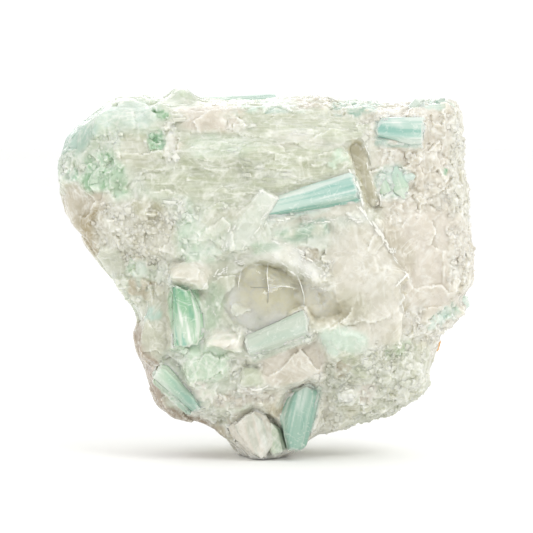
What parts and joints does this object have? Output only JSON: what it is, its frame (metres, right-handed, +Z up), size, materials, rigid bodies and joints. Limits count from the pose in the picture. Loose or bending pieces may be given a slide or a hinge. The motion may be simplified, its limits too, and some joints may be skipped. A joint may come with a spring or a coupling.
{
  "type": "tourmaline specimen",
  "caption": "Natural mineral specimen: milky and clear quartz with blue-green tourmaline prisms, grown together in one piece that stands on a small flat spot.",
  "frame": {"origin": "in the plane that the specimen stands on, under the middle of its bounding box", "axes": "+Z up as it stands, +X to the right seen from the front, -Y out of the front, the face with the long tourmaline prism"},
  "size_m": [0.084, 0.0493, 0.074],
  "materials": {
    "milky_quartz": "translucent, broken faces between glassy and sugary",
    "clear_quartz": "see-through, with veils and fine cracks",
    "tourmaline": "translucent, glossy, striated along the prism"
  },
  "bodies": {
    "root": {"quartz_with_tourmaline": "milky_quartz"}
  },
  "joints": []
}
